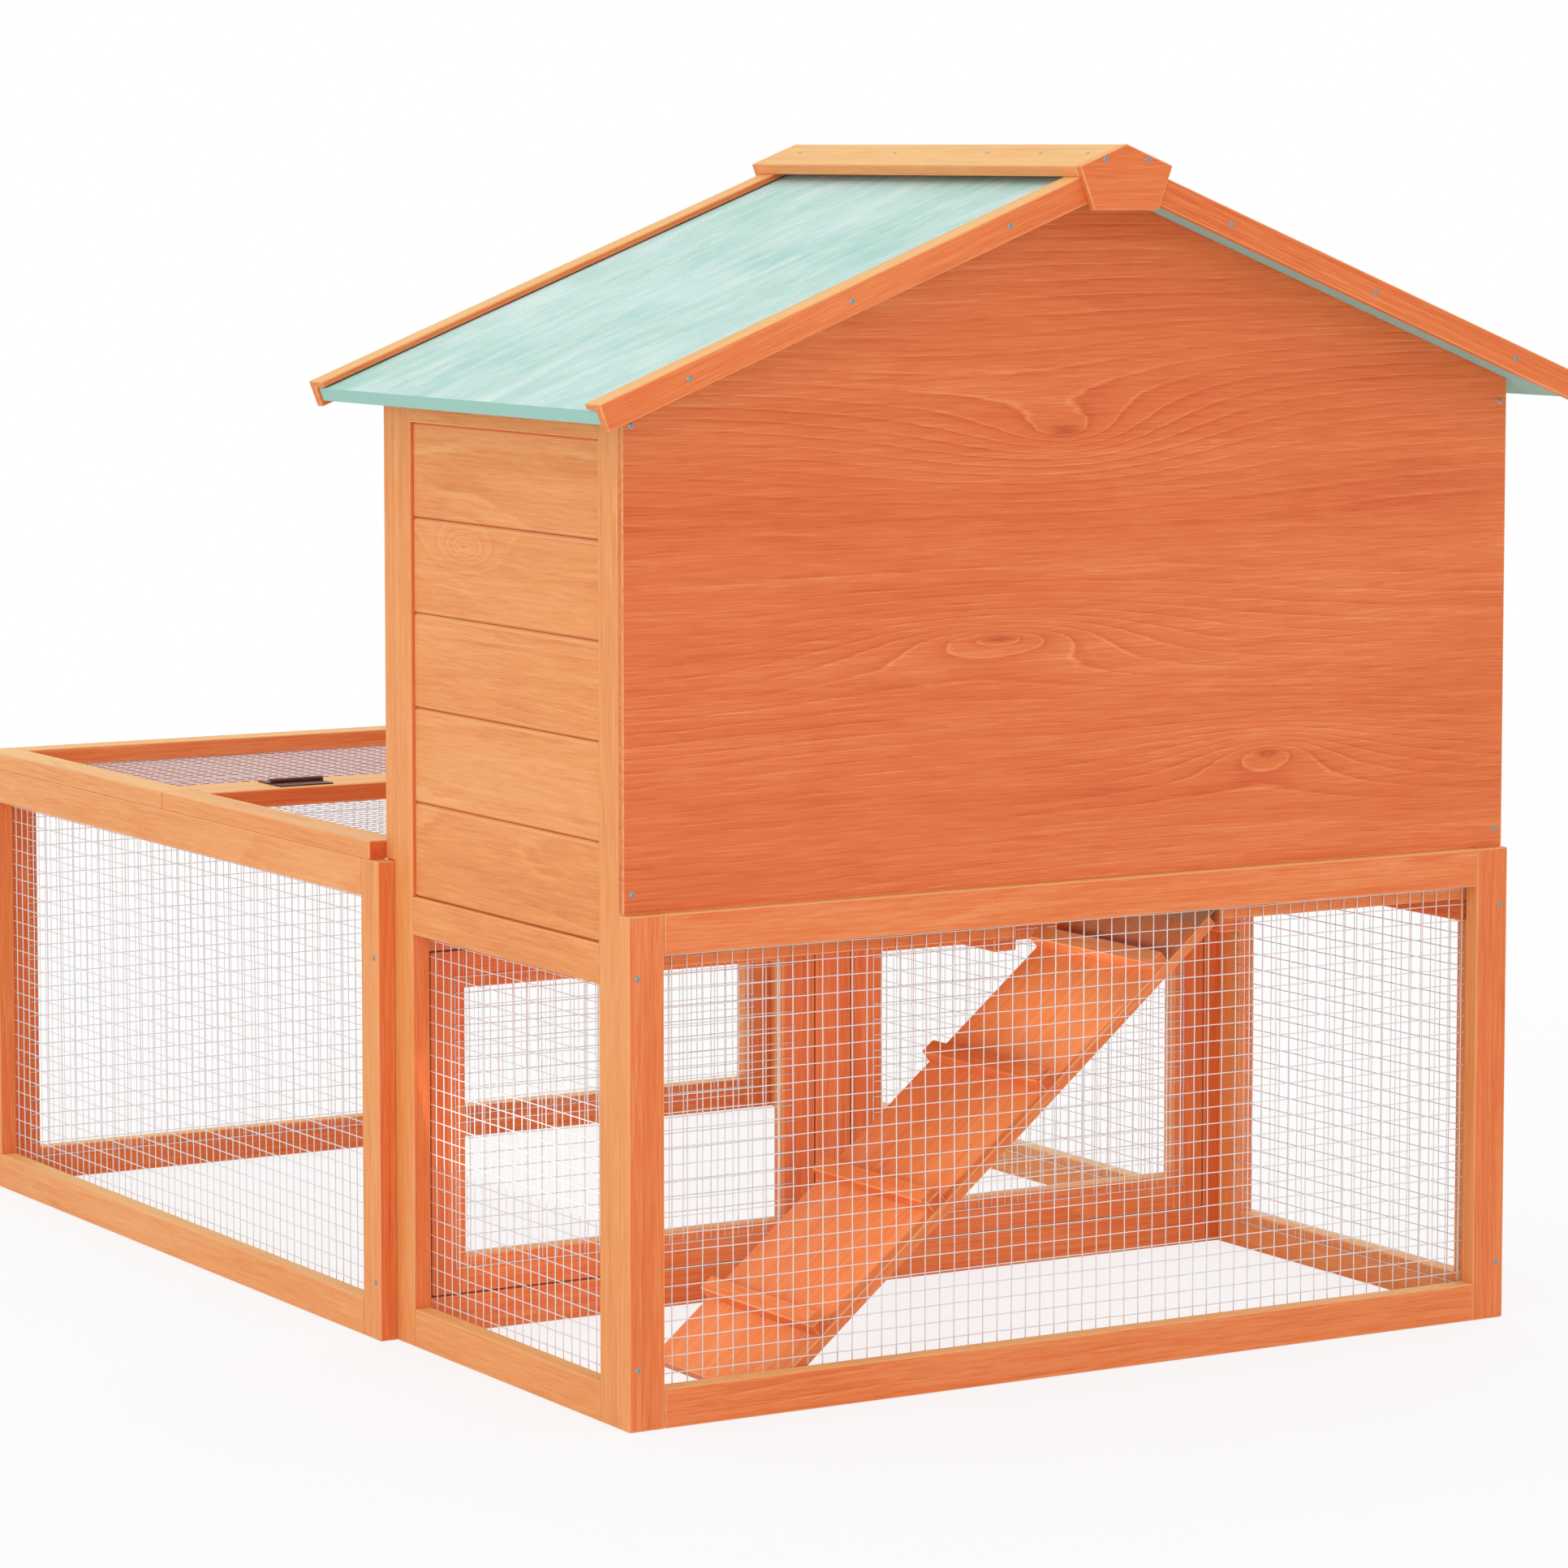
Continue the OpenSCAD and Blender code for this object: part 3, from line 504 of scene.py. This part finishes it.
# Steel: colour, how metallic, how rough, patches of zinc per metre

steels = {
    "wireSteel": ("ECECEE", 0.10, 0.48, 900.0),
    "zincSteel": ("9EA2A4", 0.85, 0.38, 700.0),
    "yellowZinc": ("CF8A4E", 0.40, 0.42, 700.0),
    "bronzeSteel": ("5A2A1C", 0.30, 0.45, 500.0),
}
steelLook = {"shade": 0.90, "patchBy": 0.10, "stains": (40.0, 40.0, 40.0), "stainBy": 0.12, "roughBy": 0.2,
             "bump": 0.1, "bumpDepth": 0.0002}


def steelMaterial(name, colour, metal, rough, spangle):
    material, tree, shader = newMaterial(name)
    place = objectPlace(tree)
    patches = addNode(tree, "TexVoronoi", {"Vector": place, "Scale": spangle, "Randomness": 1.0})
    grey = calc(tree, "MULTIPLY", channelsOf(tree, patches.outputs["Color"])[0], steelLook["patchBy"])
    stain = cloud(tree, stretch(tree, place, steelLook["stains"]), 3.0, 0.6)
    mottle = calc(tree, "ADD", grey, swing(tree, stain, steelLook["stainBy"]))
    shade = calc(tree, "ADD", steelLook["shade"], mottle)
    tint = addNode(tree, "HueSaturation", {"Value": shade, "Color": rgb(colour)}).outputs[0]
    tree.links.new(tint, shader.inputs["Base Color"])
    shader.inputs["Metallic"].default_value = metal
    roughness = calc(tree, "ADD", rough, swing(tree, stain, steelLook["roughBy"]))
    tree.links.new(roughness, shader.inputs["Roughness"])
    addBump(tree, shader, stain, steelLook["bump"], steelLook["bumpDepth"])
    return material


metals = {name: steelMaterial(name, *look) for name, look in steels.items()}
print("metal finishes:", len(metals))


# Welded mesh of two layers of wires

wireLook = {
    "pitch": 0.013,
    "radius": 0.00042,
    "sides": 6,
    "weld": 0.00058,
    "span": 2,                  # squares from one bend of a wire to the next
    "wave": 0.00030,
    "waves": ((17.0, 0.6), (53.0, 0.3), (131.0, 0.25)),   # radians per metre, share of the wave
}


def wireTemplate(length, welds, cuts):
    # one straight wire along Z, with a weld bead wherever a wire of the other layer crosses it
    bm = bmesh.new()
    radius = wireLook["radius"]
    bmesh.ops.create_cone(bm, cap_ends=True, segments=wireLook["sides"], radius1=radius, radius2=radius,
                          depth=length, matrix=Matrix.Translation((0, 0, length / 2)))
    lengthways = [e for e in bm.edges if abs(e.verts[0].co.z - e.verts[1].co.z) > length / 2]
    bmesh.ops.subdivide_edges(bm, edges=lengthways, cuts=cuts)
    for place in welds:
        bmesh.ops.create_icosphere(bm, subdivisions=1, radius=wireLook["weld"],
                                   matrix=Matrix.Translation((0, -radius, place)))
    return meshFrom(bm, "wire")


def repeated(mesh, step, count):
    # the mesh, copied count times along step
    row = bpy.data.objects.new("row", mesh)
    addToScene(row)
    array = row.modifiers.new("row", "ARRAY")
    array.use_relative_offset = False
    array.use_constant_offset = True
    array.constant_offset_displace = step
    array.count = count
    done = bpy.data.meshes.new_from_object(row.evaluated_get(bpy.context.evaluated_depsgraph_get()))
    bpy.data.objects.remove(row)
    return done


def waved(mesh, amount):
    # bends every wire a little, smoothly along its length
    place = np.empty(len(mesh.vertices) * 3, dtype=np.float32)
    mesh.vertices.foreach_get("co", place)
    place = place.reshape(-1, 3).astype(float)
    push = np.zeros_like(place)
    for k in range(3):
        for rate, share in wireLook["waves"]:
            turned = place @ np.roll((rate, rate * 1.3, rate * 0.7), k)
            push[:, k] += share * np.sin(turned + 2.1 * k + rate)
    mesh.vertices.foreach_set("co", (place + push * amount).astype(np.float32).ravel())
    mesh.update()


def wireNet(node, phase=None):
    low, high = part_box(node)
    size = high - low
    flat = min(range(3), key=lambda i: size[i])
    u, v = [i for i in range(3) if i != flat]
    pitch, radius = wireLook["pitch"], wireLook["radius"]
    middle = (low[flat] + high[flat]) / 2
    first, count = {}, {}
    for k in (u, v):
        count[k] = int((size[k] - 2 * radius) / pitch) + 1
        first[k] = low[k] + (size[k] - (count[k] - 1) * pitch) / 2
        if phase:
            first[k] = low[k] + radius + (phase[k] - low[k] - radius) % pitch
            count[k] = int((high[k] - radius - first[k]) / pitch) + 1
    bm = bmesh.new()
    for mine, other, side in ((u, v, -1), (v, u, 1)):
        # wires that run along mine, in a row along other; the template's -Y looks at the other layer
        welds = [first[mine] + i * pitch - low[mine] for i in range(count[mine])] if mine == u else []
        mesh = wireTemplate(size[mine], welds, count[mine] // wireLook["span"])
        axes = [Vector((0, 0, 0)) for _ in range(3)]
        axes[2][mine] = 1.0
        axes[1][flat] = side * 1.0
        axes[0] = axes[1].cross(axes[2])
        start = Vector((0, 0, 0))
        start[mine], start[other], start[flat] = low[mine], first[other], middle + side * radius
        turn = Matrix(axes).transposed().to_4x4()
        mesh.transform(Matrix.Translation(start) @ turn)
        step = Vector((0, 0, 0))
        step[other] = pitch
        bm.from_mesh(repeated(mesh, step, count[other]))
    mesh = meshFrom(bm, pieceName(node), metals["wireSteel"])
    waved(mesh, wireLook["wave"])
    mesh.shade_smooth()
    return dress(mesh, node)


# a place where the photographed wires cross the back net, on the two axes it spans
wirePhase = {"back_mesh": {0: 0.0062, 2: 0.0112}}
nets = [node for node in frame["nodes"] if node.endswith("_mesh")]
for node in nets:
    wireNet(node, wirePhase.get(node))
print("nets made:", len(nets))


# Roofing felt

feltLook = {
    "mint": "AFDACF",
    "haze": "D2EBE6",
    "drift": "EAF5F3",
    "chips": "8FC6B8",
    # painted shade: the darker felt on the edges and the underside
    "edge": "A0CCC2",
    "roughness": 0.92,
    "gloss": 0.2,
    "bump": 0.5,
    "bumpDepth": 0.0005,
    "fold": 0.0006,
    "foldSteps": 2,
    "sharp": 25.0,
}


def feltMaterial():
    material, tree, shader = newMaterial("mintFelt")
    place = objectPlace(tree)
    haze = cloud(tree, stretch(tree, place, (7.0, 5.0, 7.0)), 5.0, 0.62)
    drift = cloud(tree, stretch(tree, place, (15.0, 60.0, 15.0)), 4.0, 0.65)
    grit = cloud(tree, stretch(tree, place, (900.0, 900.0, 900.0)), 2.0, 0.7)
    chips = addNode(tree, "TexVoronoi", {"Vector": place, "Scale": 700.0}).outputs["Color"]
    chip = channelsOf(tree, chips)[0]
    hazy = ramp(tree, haze, [(0.35, 0.0), (0.68, 1.0)])
    drifted = ramp(tree, drift, [(0.42, 0.0), (0.72, 0.75)])
    chipped = ramp(tree, chip, [(0.0, 0.22), (0.35, 0.0), (1.0, 0.0)])
    colour = blend(tree, hazy, rgb(feltLook["mint"]), rgb(feltLook["haze"]))
    colour = blend(tree, drifted, colour, rgb(feltLook["drift"]))
    colour = blend(tree, chipped, colour, rgb(feltLook["chips"]))
    # painted shade: the felt's edges and underside are darker
    colour = blend(tree, attribute(tree, "wear", "Fac"), colour, rgb(feltLook["edge"]))
    tree.links.new(colour, shader.inputs["Base Color"])
    shader.inputs["Roughness"].default_value = feltLook["roughness"]
    shader.inputs["Specular IOR Level"].default_value = feltLook["gloss"]
    addBump(tree, shader, calc(tree, "ADD", grit, chip), feltLook["bump"], feltLook["bumpDepth"])
    return material


mintFelt = feltMaterial()


def feltPiece(node):
    bm = solidCopy(node)
    # painted shade on every face but the top: the edges and the underside
    edge = bm.faces.layers.float.new("wear")
    top = max(bm.faces, key=lambda f: f.calc_area()).normal.copy()
    for face in bm.faces:
        face[edge] = 0.0 if face.normal.dot(top) > 0.9 else 1.0
    roundEdges(bm, feltLook["fold"], feltLook["foldSteps"], feltLook["sharp"])
    return dress(meshFrom(bm, pieceName(node), mintFelt), node)


for node in ("roof_felt_left", "roof_felt_right"):
    feltPiece(node)
print("felt laid")


# Hinges, pins and screws

headLook = {
    "slot": 0.15,               # half the width and half the length of the cross, in radii
    "arm": 0.55,
    "recess": 0.6,              # depth of the cross, in heights
    "taper": 0.8,
    "dome": 0.75,               # fall of the dome at its rim, in heights
    "rings": (0.78, 0.98),
}


def addHead(bm, foot, out, radius, height):
    # a domed screw head with a cross cut into it, standing on foot and looking along out
    slot, arm = headLook["slot"] * radius, headLook["arm"] * radius
    quarter = [(arm, slot), (slot, slot), (slot, arm)]
    cross = quarter + [(-y, x) for x, y in quarter]
    cross += [(-x, -y) for x, y in cross]
    dome = lambda x, y: height * (1 - headLook["dome"] * (x * x + y * y) / radius ** 2)
    taper, bottom = headLook["taper"], height * (1 - headLook["recess"])
    loops = [[(x * taper, y * taper, bottom) for x, y in cross],
             [(x, y, dome(x, y)) for x, y in cross]]
    for share in headLook["rings"]:
        ring = [Vector((x, y)).normalized() * radius * share for x, y in cross]
        loops.append([(x, y, dome(x, y)) for x, y in ring])
    loops.append([(x, y, 0.0) for x, y in [Vector((x, y)).normalized() * radius for x, y in cross]])
    turn = out.to_track_quat("Z", "Y").to_matrix()
    rows = [[bm.verts.new(foot + turn @ Vector(place)) for place in loop] for loop in loops]
    faces = [bm.faces.new(rows[0]), bm.faces.new(rows[-1][::-1])]
    for lower, upper in zip(rows, rows[1:]):
        for k in range(len(cross)):
            after = (k + 1) % len(cross)
            faces.append(bm.faces.new((lower[after], lower[k], upper[k], upper[after])))
    return faces


metalLook = {
    "edge": 0.0002,
    "edgeSteps": 1,
    "sharp": 40.0,
    "smallFace": 0.00001,       # square metres under which a face is shaded smooth
    "heads": 3,                 # screws in each leaf
    "headRadius": 0.0016,
    "headHeight": 0.0004,
    "spread": 0.7,              # share of the leaf's length that they take
    "stagger": 0.0015,
}


def metalPiece(node, material, screwed=False):
    bm = solidCopy(node)
    plates = []
    for group in islands(bm) if screwed else []:
        along = boardAxes(group)[0]
        outer = [f for f in group if f.normal.y + f.normal.z > 0.5]
        plates.append((max(outer, key=lambda f: round(f.calc_area(), 8)), along))
    spots = [(f.calc_center_median(), f.normal.copy(), along, max(e.calc_length() for e in f.edges))
             for f, along in plates]
    roundEdges(bm, metalLook["edge"], metalLook["edgeSteps"], metalLook["sharp"])
    for face in bm.faces:
        face.smooth = face.calc_area() < metalLook["smallFace"]
    for middle, out, along, length in spots:
        side = out.cross(along).normalized()
        for k in range(metalLook["heads"]):
            away = (k / (metalLook["heads"] - 1) - 0.5) * length * metalLook["spread"]
            place = middle + along * away + side * (metalLook["stagger"] if k % 2 else -metalLook["stagger"])
            addHead(bm, place, out, metalLook["headRadius"], metalLook["headHeight"])
    return dress(meshFrom(bm, pieceName(node), material), node)


def screwHeads(node, material):
    # each plain disc of the part becomes a domed head with a cross
    houseY = sum(corner.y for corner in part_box("nest_partition")) / 2
    discs = []
    source = solidCopy(node)
    for group in islands(source):
        corners = [v.co for f in group for v in f.verts]
        low, high = [Vector([pick(c[i] for c in corners) for i in range(3)]) for pick in (min, max)]
        size, middle = high - low, (low + high) / 2
        flat = min(range(3), key=lambda i: size[i])
        out = Vector((0, 0, 0))
        out[flat] = 1.0 if middle[flat] > (houseY if flat == 1 else 0.0) else -1.0
        discs.append((middle - out * size[flat] / 2, out, max(size) / 2, size[flat]))
    source.free()
    bm = bmesh.new()
    for foot, out, radius, height in discs:
        addHead(bm, foot, out, radius, height)
    return dress(meshFrom(bm, pieceName(node), material), node)


nailLook = {
    "radius": 0.0019,
    "taper": 0.8,
    "height": 0.0004,
    "sides": 12,
    "x": 0.018,
    "y": (-0.584, -0.520, -0.445, -0.310, -0.164),
}


def ridgeNails(node, side):
    # flat nail heads along the middle of a ridge board
    source = solidCopy(node)
    top = max((f for f in source.faces if f.normal.z > 0.5), key=lambda f: f.calc_area())
    out, inside = top.normal.copy(), top.calc_center_median()
    source.free()
    turn = out.to_track_quat("Z", "Y").to_matrix().to_4x4()
    x = side * nailLook["x"]
    z = inside.z - out.x * (x - inside.x) / out.z
    bm = bmesh.new()
    for y in nailLook["y"]:
        middle = Vector((x, y, z)) + out * nailLook["height"] / 2
        bmesh.ops.create_cone(bm, cap_ends=True, segments=nailLook["sides"], radius1=nailLook["radius"],
                              radius2=nailLook["radius"] * nailLook["taper"], depth=nailLook["height"],
                              matrix=Matrix.Translation(middle) @ turn)
    name = pieceName(node) + "Nails"
    piece = dress(meshFrom(bm, name, metals["zincSteel"]), node, name, False)


for node in ("lid_hinge_fixed_leaves", "lid_hinge_moving_leaves"):
    metalPiece(node, metals["bronzeSteel"], screwed=True)
for node in ("ramp_hinge_floor_leaves", "ramp_hinge_ramp_leaves"):
    metalPiece(node, metals["yellowZinc"], screwed=True)
for node in ("door_hinge_frame_leaves", "lower_left_door_leaves", "lower_right_door_leaves",
             "upper_left_door_leaves", "upper_right_door_leaves"):
    metalPiece(node, metals["zincSteel"], screwed=True)
for node in ("hinge_pins", "button_pivot_screws"):
    metalPiece(node, metals["zincSteel"])
screwHeads("frame_screws", metals["zincSteel"])
ridgeNails("ridge_board_left", -1)
ridgeNails("ridge_board_right", 1)
print("hardware made")


# Floor and room

def seenDirectly(tree):
    # one for rays from the camera and for those that come by way of a mirror or a pane
    rays = addNode(tree, "LightPath")
    bounced = calc(tree, "MAXIMUM", rays.outputs["Is Glossy Ray"], rays.outputs["Is Transmission Ray"])
    return calc(tree, "MAXIMUM", rays.outputs["Is Camera Ray"], bounced)


def addFloor():
    bm = bmesh.new()
    bmesh.ops.create_grid(bm, x_segments=2, y_segments=2, size=studio["floorSize"])
    bmesh.ops.translate(bm, vec=(0, 0, -studio["floorDrop"]), verts=bm.verts)
    material, tree, shader = newMaterial("studioFloor")
    floor = bpy.data.objects.new("studioFloor", meshFrom(bm, "studioFloor", material))
    addToScene(floor)
    output = next(n for n in tree.nodes if n.bl_idname == "ShaderNodeOutputMaterial")
    shader.inputs["Base Color"].default_value = studio["floorTint"]
    shader.inputs["Roughness"].default_value = studio["floorRoughness"]
    glow = addNode(tree, "Emission", {"Strength": 1.0})
    away = addNode(tree, "VectorMath", {0: objectPlace(tree)}, operation="LENGTH").outputs["Value"]
    share = addNode(tree, "MapRange", {"Value": away, "From Min": studio["glowReach"][0],
                                       "From Max": studio["glowReach"][1], "To Min": studio["floorGlow"][0],
                                       "To Max": studio["floorGlow"][1]}, interpolation_type="SMOOTHSTEP")
    amount = calc(tree, "MULTIPLY", seenDirectly(tree), share.outputs["Result"])
    mixed = addNode(tree, "MixShader", {0: amount, 1: shader.outputs[0], 2: glow.outputs[0]})
    tree.links.new(mixed.outputs[0], output.inputs[0])


def addRoom():
    world = bpy.data.worlds.new("studioRoom")
    world.use_nodes = True
    tree = world.node_tree
    tree.nodes.clear()
    soft = addNode(tree, "Background", {"Strength": studio["roomLight"]})
    white = addNode(tree, "Background", {"Strength": 1.0})
    for light in (soft, white):
        light.inputs["Color"].default_value = plainWhite + (1.0,)
    mixed = addNode(tree, "MixShader", {0: seenDirectly(tree), 1: soft.outputs[0], 2: white.outputs[0]})
    tree.links.new(mixed.outputs[0], addNode(tree, "OutputWorld").inputs[0])
    bpy.context.scene.world = world


addCamera()
for lamp in lamps:
    addLamp(*lamp)
addFloor()
addRoom()
bpy.context.scene.view_settings.view_transform = "Standard"
print("studio ready")
